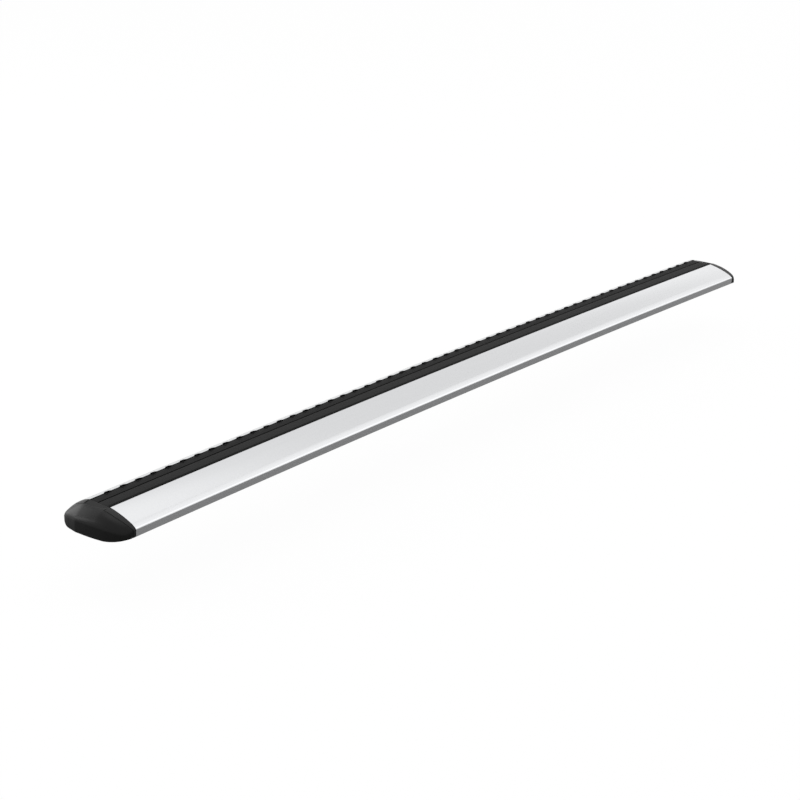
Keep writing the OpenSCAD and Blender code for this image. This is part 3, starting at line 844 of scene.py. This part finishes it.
metals = {"hinge_pin_": pinSteel, "cap_screw_tail_": screwSteel, "cap_screw_nose_": screwSteel}
base, flap = makeCapBase(), makeCapFlap()
for side, word in ((-1, "left"), (1, "right")):
    piece = atEnd(base, side, "capBase" + word.capitalize())
    dress(piece, "bar", "cap_base_plastic", basePlastic, "cap_base_" + word)
    piece = atEnd(flap, side, "capFlap" + word.capitalize())
    dress(piece, "flap_" + word, "cap_flap_plastic", flapPlastic, "cap_flap_" + word)
    for node, metal in metals.items():
        paint(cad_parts[node + word], metal)
discard(base)
discard(flap)
print("caps ready")

# the photograph's camera
view = {
    "at": (-1.5750, -1.2119, 0.7106), "heading": 39.434, "down": 20.190, "roll": 0.4227,  # metres, degrees
    "focal": 1915.49, "image": 800, "sensor": 36, "clip": (0.05, 60),  # pixels, pixels, mm, metres
}


def makeCamera():
    data = bpy.data.cameras.new("camera")
    data.sensor_width = view["sensor"]
    data.lens = view["focal"] / view["image"] * view["sensor"]
    data.clip_start, data.clip_end = view["clip"]
    camera = bpy.data.objects.new("camera", data)
    scene.collection.objects.link(camera)
    yaw, down, roll = (math.radians(view[k]) for k in ("heading", "down", "roll"))
    ahead = Vector((math.cos(down) * math.cos(yaw), math.cos(down) * math.sin(yaw), -math.sin(down)))
    side = Vector((math.sin(yaw), -math.cos(yaw), 0))
    up = side.cross(ahead)
    right = math.cos(roll) * side + math.sin(roll) * up
    top = -math.sin(roll) * side + math.cos(roll) * up
    turn = Matrix((right, top, -ahead)).transposed()
    camera.matrix_world = Matrix.Translation(view["at"]) @ turn.to_4x4()
    scene.camera = camera


makeCamera()

# floor, world and lamps
studio = {
    "floorDrop": 0.06, "floorSize": 30, "floorTone": 0.34, "floorWhite": 0.85, "white": 1.12,
    # metal mirrors a white floor behind the bar, from these distances in Y on, and a dark one before it
    "sweepFrom": 0.16, "sweepTo": 0.42,
    "skyDiffuse": 0.74, "skyShow": 1.0,
}
# name, place, width, depth, radiance on top of the sky's, and for a standing lamp what it faces
lamps = [
    ("bandLamp", (1.9, -0.4, 1.8), 3.4, 0.9, 0.33),
    ("creaseLamp", (2.6, -1.6, 1.8), 4.6, 1.5, 0.6),
    ("nearLamp", (0.7, 0.95, 1.8), 1.0, 1.5, 0.32),
    ("farLamp", (4.3, 1.3, 1.8), 1.6, 2.2, 0.33),
    ("capLamp", (-0.35, 0.6, 1.8), 0.8, 0.8, 1.2),
    ("backLamp", (-0.65, 2.6, 1.05), 1.5, 1.7, 2.2, (-0.54, 0, 0)),
    ("rimLamp", (-2.0, 2.2, 1.1), 1.0, 1.2, 3.5, (-0.54, 0, 0)),
]


def makeFloor():
    f = Finish("floor")
    camera, glossy, through = f.rays("Camera", "Glossy", "Transmission")
    sweep = f.between(f.where(1), studio["sweepFrom"], studio["sweepTo"], "SMOOTHSTEP")
    shown = (camera + through + glossy * sweep) * studio["floorWhite"]
    plain = f.add("ShaderNodeBsdfDiffuse", {}, {"Color": (*grey(studio["floorTone"]), 1)})
    white = f.add("ShaderNodeEmission", {}, {"Color": (1, 1, 1, 1), "Strength": studio["white"]})
    f.close(f.add("ShaderNodeMixShader", {}, {0: shown, 1: plain, 2: white}))
    mesh = bpy.data.meshes.new("floor")
    s, z = studio["floorSize"] / 2, -studio["floorDrop"]
    mesh.from_pydata([(-s, -s, z), (s, -s, z), (s, s, z), (-s, s, z)], [], [(0, 1, 2, 3)])
    mesh.materials.append(f.holder)
    obj = bpy.data.objects.new("floor", mesh)
    scene.collection.objects.link(obj)


def makeWorld():
    world = bpy.data.worlds.new("studio")
    scene.world = world
    f = Finish("studio", world)
    camera, glossy, through = f.rays("Camera", "Glossy", "Transmission")
    shown = camera + glossy + through
    strength = studio["skyDiffuse"] + shown * (studio["skyShow"] - studio["skyDiffuse"])
    sky = f.add("ShaderNodeBackground", {}, {"Color": (1, 1, 1, 1), "Strength": strength})
    f.close(sky, "ShaderNodeOutputWorld")


def makeLamp(name, place, width, depth, radiance, facing=None):
    # a soft box that faces down, or towards a point
    data = bpy.data.lights.new(name, "AREA")
    data.shape = "RECTANGLE"
    data.size, data.size_y = width, depth
    data.energy = radiance * math.pi * width * depth
    lamp = bpy.data.objects.new(name, data)
    lamp.location = place
    if facing:
        lamp.rotation_euler = (Vector(facing) - Vector(place)).to_track_quat("-Z", "Y").to_euler()
    scene.collection.objects.link(lamp)


makeFloor()
makeWorld()
for lamp in lamps:
    makeLamp(*lamp)
print("studio ready")
